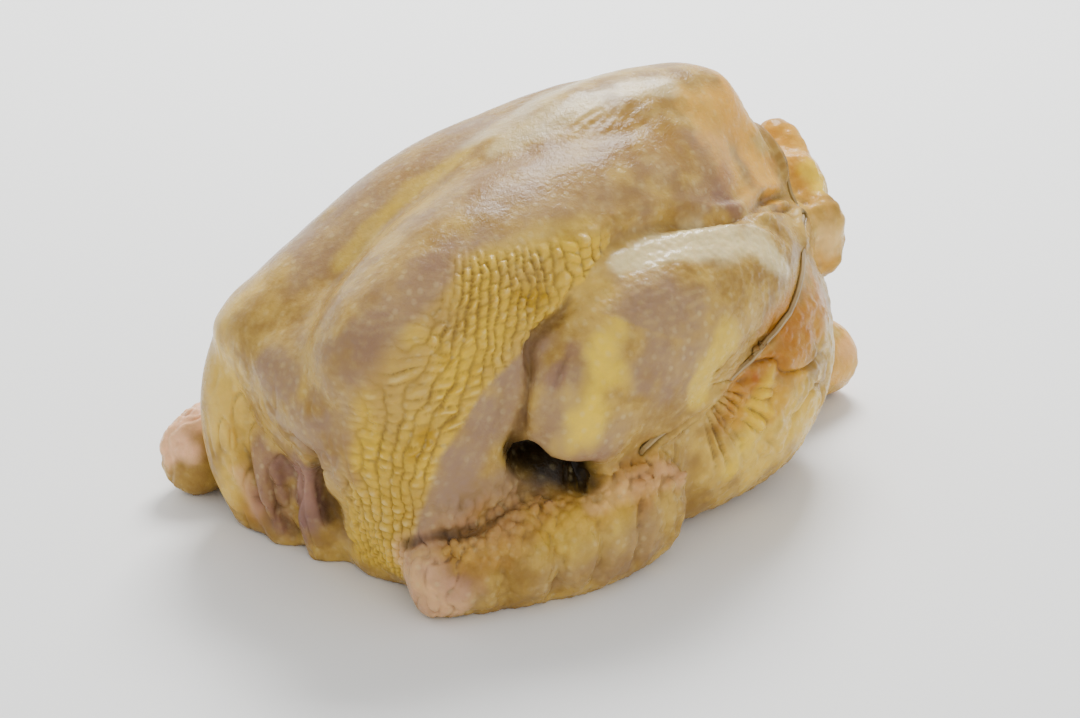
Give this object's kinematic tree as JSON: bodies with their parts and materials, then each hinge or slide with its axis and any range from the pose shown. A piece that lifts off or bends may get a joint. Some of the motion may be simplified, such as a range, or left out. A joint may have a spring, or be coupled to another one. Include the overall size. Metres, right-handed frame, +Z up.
{
  "type": "whole raw chicken",
  "caption": "Oven-ready raw chicken lying on its back, breast up, with folded wings, trussed legs, tucked neck skin and tail, held in by a thin elastic loop.",
  "frame": {"origin": "on the surface that the bird lies on, under the middle of its bounding box", "axes": "+X to the tail, -X to the neck, +Z up through the breast bone, -Y to the bird's right wing and leg"},
  "size_m": [0.2231, 0.152, 0.1234],
  "materials": {
    "skin": "moist raw skin, cream to yellow over grey-pink flesh, wet sheen",
    "elastic": "pale satin elastic cord"
  },
  "bodies": {
    "root": {"chicken": "skin", "truss_elastic": "elastic"}
  },
  "joints": []
}
